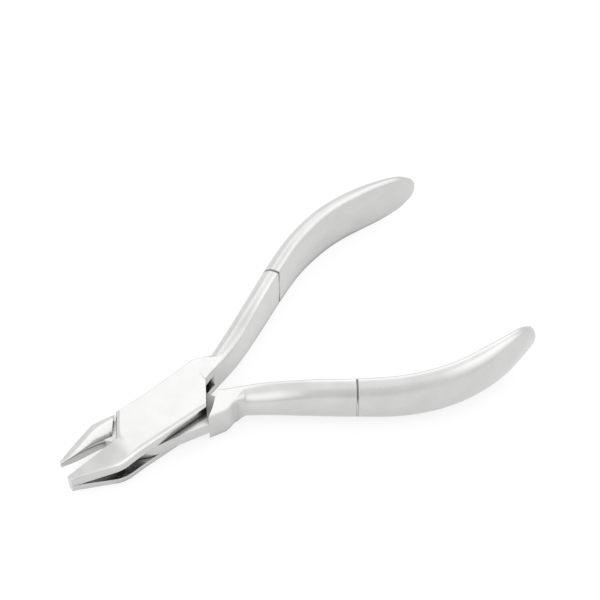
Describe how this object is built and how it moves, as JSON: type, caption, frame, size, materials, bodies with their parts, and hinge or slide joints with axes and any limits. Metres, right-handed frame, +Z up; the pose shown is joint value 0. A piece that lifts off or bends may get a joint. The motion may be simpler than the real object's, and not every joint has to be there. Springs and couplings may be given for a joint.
{
  "type": "crimping pliers",
  "caption": "Small all-steel pliers whose single beak closes between paired prongs to bend and crimp wire; curved bow handles on a fork-and-tongue pivot.",
  "frame": {"origin": "bottom centre of the tool's bounding box, as it lies flat with the jaws partly open", "axes": "+X from the jaws towards the handles, midway between the handles; +Z up, along the pivot pin"},
  "size_m": [0.1199, 0.0656, 0.016],
  "materials": {
    "polished_steel": "polished",
    "satin_steel": "satin",
    "pin_steel": "ground flush",
    "spigot_steel": "turned"
  },
  "bodies": {
    "fork": {"fork_half": "polished_steel", "fork_grip": "satin_steel", "fork_spigot": "spigot_steel", "joint_pin": "pin_steel"},
    "cross": {"cross_half": "polished_steel", "cross_grip": "satin_steel", "cross_spigot": "spigot_steel"}
  },
  "joints": [
    {"name": "pivot", "type": "hinge", "parent": "fork", "child": "cross", "pos_m": [-0.03185, 0, 0.008], "axis": [0, 0, -1], "range_deg": [-9.5, 6]}
  ]
}
